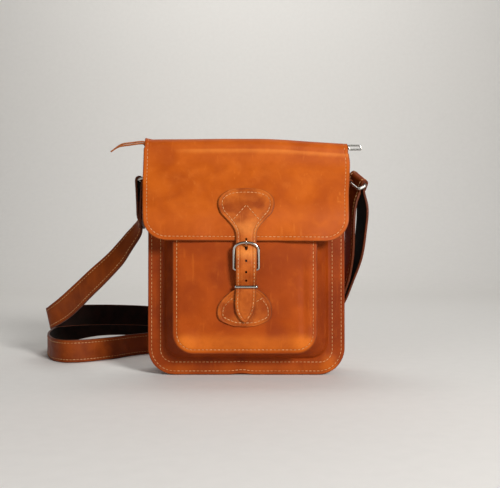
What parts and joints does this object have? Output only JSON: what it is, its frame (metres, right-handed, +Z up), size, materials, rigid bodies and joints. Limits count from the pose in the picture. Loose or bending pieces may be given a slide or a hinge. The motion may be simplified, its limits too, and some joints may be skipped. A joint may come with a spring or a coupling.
{
  "type": "leather crossbody bag",
  "caption": "Upright leather crossbody bag with a zipped body, a front box pocket, a full flap closed by a buckled strap, and a long shoulder strap on two rings.",
  "frame": {"origin": "middle of the flat strip of the base, on the surface that the bag stands on", "axes": "+Z up, front towards -Y, +X to the viewer's right"},
  "size_m": [0.4706, 0.3398, 0.3033],
  "materials": {
    "flap_leather": "waxed pull-up leather, mottled, satin",
    "body_leather": "waxed pull-up leather, darker, satin",
    "pocket_leather": "waxed pull-up leather, mottled, satin",
    "strap_leather": "waxed pull-up leather with burnished edges and a suede back",
    "lace_leather": "thin cut lace",
    "buckle_metal": "polished nickel plate",
    "ring_metal": "polished nickel plate",
    "zip_metal": "polished nickel plate",
    "zip_tape": "woven tape"
  },
  "bodies": {
    "root": {"front_panel": "body_leather", "back_and_flap": "flap_leather", "main_gusset": "body_leather", "pocket_panel": "pocket_leather", "pocket_gusset": "body_leather", "closure_strap": "strap_leather", "buckle_chape": "strap_leather", "buckle_frame": "buckle_metal", "buckle_prong": "buckle_metal", "strap_keeper": "buckle_metal", "zip_tape": "zip_tape", "zip_slider_left": "zip_metal", "zip_slider_right": "zip_metal", "zip_pull": "zip_metal", "zip_thong": "lace_leather", "ring_left": "ring_metal", "ring_right": "ring_metal", "ring_tab_left": "body_leather", "ring_tab_right": "body_leather", "shoulder_strap": "strap_leather"}
  },
  "joints": []
}
